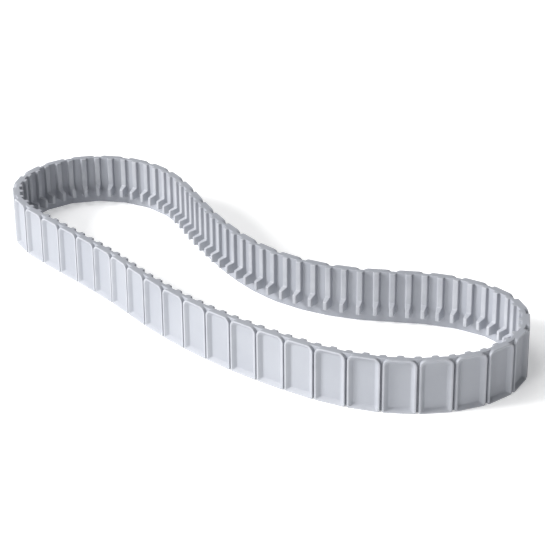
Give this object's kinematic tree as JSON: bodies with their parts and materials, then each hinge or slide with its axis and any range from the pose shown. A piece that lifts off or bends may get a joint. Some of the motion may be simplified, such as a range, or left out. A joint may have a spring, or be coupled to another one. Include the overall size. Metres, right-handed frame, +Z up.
{
  "type": "toothed rubber track",
  "caption": "Endless toothed rubber track lying free on its edge, with recessed pads outside and drive teeth with guide lugs inside, hinged at each web.",
  "frame": {"origin": "middle of the loop's bounding box, on the floor that its lower edge stands on", "axes": "+Z up along the belt's width, X along the loop's longest extent; the near run is towards -Y and the reverse bend towards +Y"},
  "size_m": [0.5124, 0.1976, 0.042],
  "materials": {
    "rubber": "satin"
  },
  "bodies": {
    "span_01": {"link_04": "rubber", "link_05": "rubber", "link_06": "rubber"},
    "span_02": {"link_07": "rubber", "link_08": "rubber", "link_09": "rubber", "link_10": "rubber"},
    "span_03": {"link_11": "rubber", "link_12": "rubber", "link_13": "rubber", "link_14": "rubber", "link_15": "rubber"},
    "span_04": {"link_16": "rubber", "link_17": "rubber", "link_18": "rubber", "link_19": "rubber"},
    "span_05": {"link_20": "rubber", "link_21": "rubber", "link_22": "rubber", "link_23": "rubber", "link_24": "rubber", "link_25": "rubber", "link_26": "rubber", "link_27": "rubber"},
    "span_06": {"link_28": "rubber", "link_29": "rubber", "link_30": "rubber"},
    "span_07": {"link_31": "rubber", "link_32": "rubber", "link_33": "rubber"},
    "span_08": {"link_34": "rubber", "link_35": "rubber", "link_36": "rubber"},
    "span_09": {"link_37": "rubber", "link_38": "rubber", "link_39": "rubber", "link_40": "rubber", "link_41": "rubber", "link_42": "rubber", "link_43": "rubber", "link_44": "rubber"},
    "span_10": {"link_45": "rubber", "link_46": "rubber", "link_47": "rubber"},
    "span_11": {"link_48": "rubber", "link_01": "rubber", "link_02": "rubber", "link_03": "rubber"}
  },
  "joints": [
    {"name": "fold_16", "type": "hinge", "parent": "span_03", "child": "span_04", "pos_m": [0.19597, -0.07784, 0.021], "axis": [0, 0, 1], "range_deg": [-9.27, 1.6]},
    {"name": "fold_20", "type": "hinge", "parent": "span_04", "child": "span_05", "pos_m": [0.25203, -0.00039, 0.021], "axis": [0, 0, 1], "range_deg": [-4.78, 1.04]},
    {"name": "fold_28", "type": "hinge", "parent": "span_05", "child": "span_06", "pos_m": [0.09784, 0.02938, 0.021], "axis": [0, 0, 1], "range_deg": [-0.7, 2.13]},
    {"name": "fold_31", "type": "hinge", "parent": "span_06", "child": "span_07", "pos_m": [0.02494, 0.015, 0.021], "axis": [0, 0, 1], "range_deg": [-1, 8], "stiffness_Nm_per_rad": 0.2},
    {"name": "fold_34", "type": "hinge", "parent": "span_07", "child": "span_08", "pos_m": [-0.04708, 0.03476, 0.021], "axis": [0, 0, 1], "range_deg": [-0.7, 2.13]},
    {"name": "fold_11", "type": "hinge", "parent": "span_03", "child": "span_02", "pos_m": [0.07322, -0.09393, 0.021], "axis": [0, 0, 1], "range_deg": [-4.28, 0.97]},
    {"name": "fold_07", "type": "hinge", "parent": "span_02", "child": "span_01", "pos_m": [-0.02542, -0.07857, 0.021], "axis": [0, 0, 1], "range_deg": [-8.12, 1.45]},
    {"name": "fold_04", "type": "hinge", "parent": "span_01", "child": "span_11", "pos_m": [-0.09773, -0.05875, 0.021], "axis": [0, 0, 1], "range_deg": [-3.11, 0.83]},
    {"name": "fold_48", "type": "hinge", "parent": "span_11", "child": "span_10", "pos_m": [-0.19567, -0.03856, 0.021], "axis": [0, 0, 1], "range_deg": [-1.33, 7.12]},
    {"name": "fold_45", "type": "hinge", "parent": "span_10", "child": "span_09", "pos_m": [-0.24882, 0.01027, 0.021], "axis": [0, 0, 1], "range_deg": [-1.2, 6.09]}
  ],
  "couplings": [
    {"joint": "fold_16", "follows": "fold_31", "ratio": -1.0958},
    {"joint": "fold_20", "follows": "fold_31", "ratio": -0.5351},
    {"joint": "fold_28", "follows": "fold_31", "ratio": 0.2035},
    {"joint": "fold_34", "follows": "fold_31", "ratio": 0.2034},
    {"joint": "fold_11", "follows": "fold_31", "ratio": -0.4721},
    {"joint": "fold_07", "follows": "fold_31", "ratio": -0.9526},
    {"joint": "fold_04", "follows": "fold_31", "ratio": -0.3262},
    {"joint": "fold_48", "follows": "fold_31", "ratio": 0.8277},
    {"joint": "fold_45", "follows": "fold_31", "ratio": 0.6991}
  ]
}
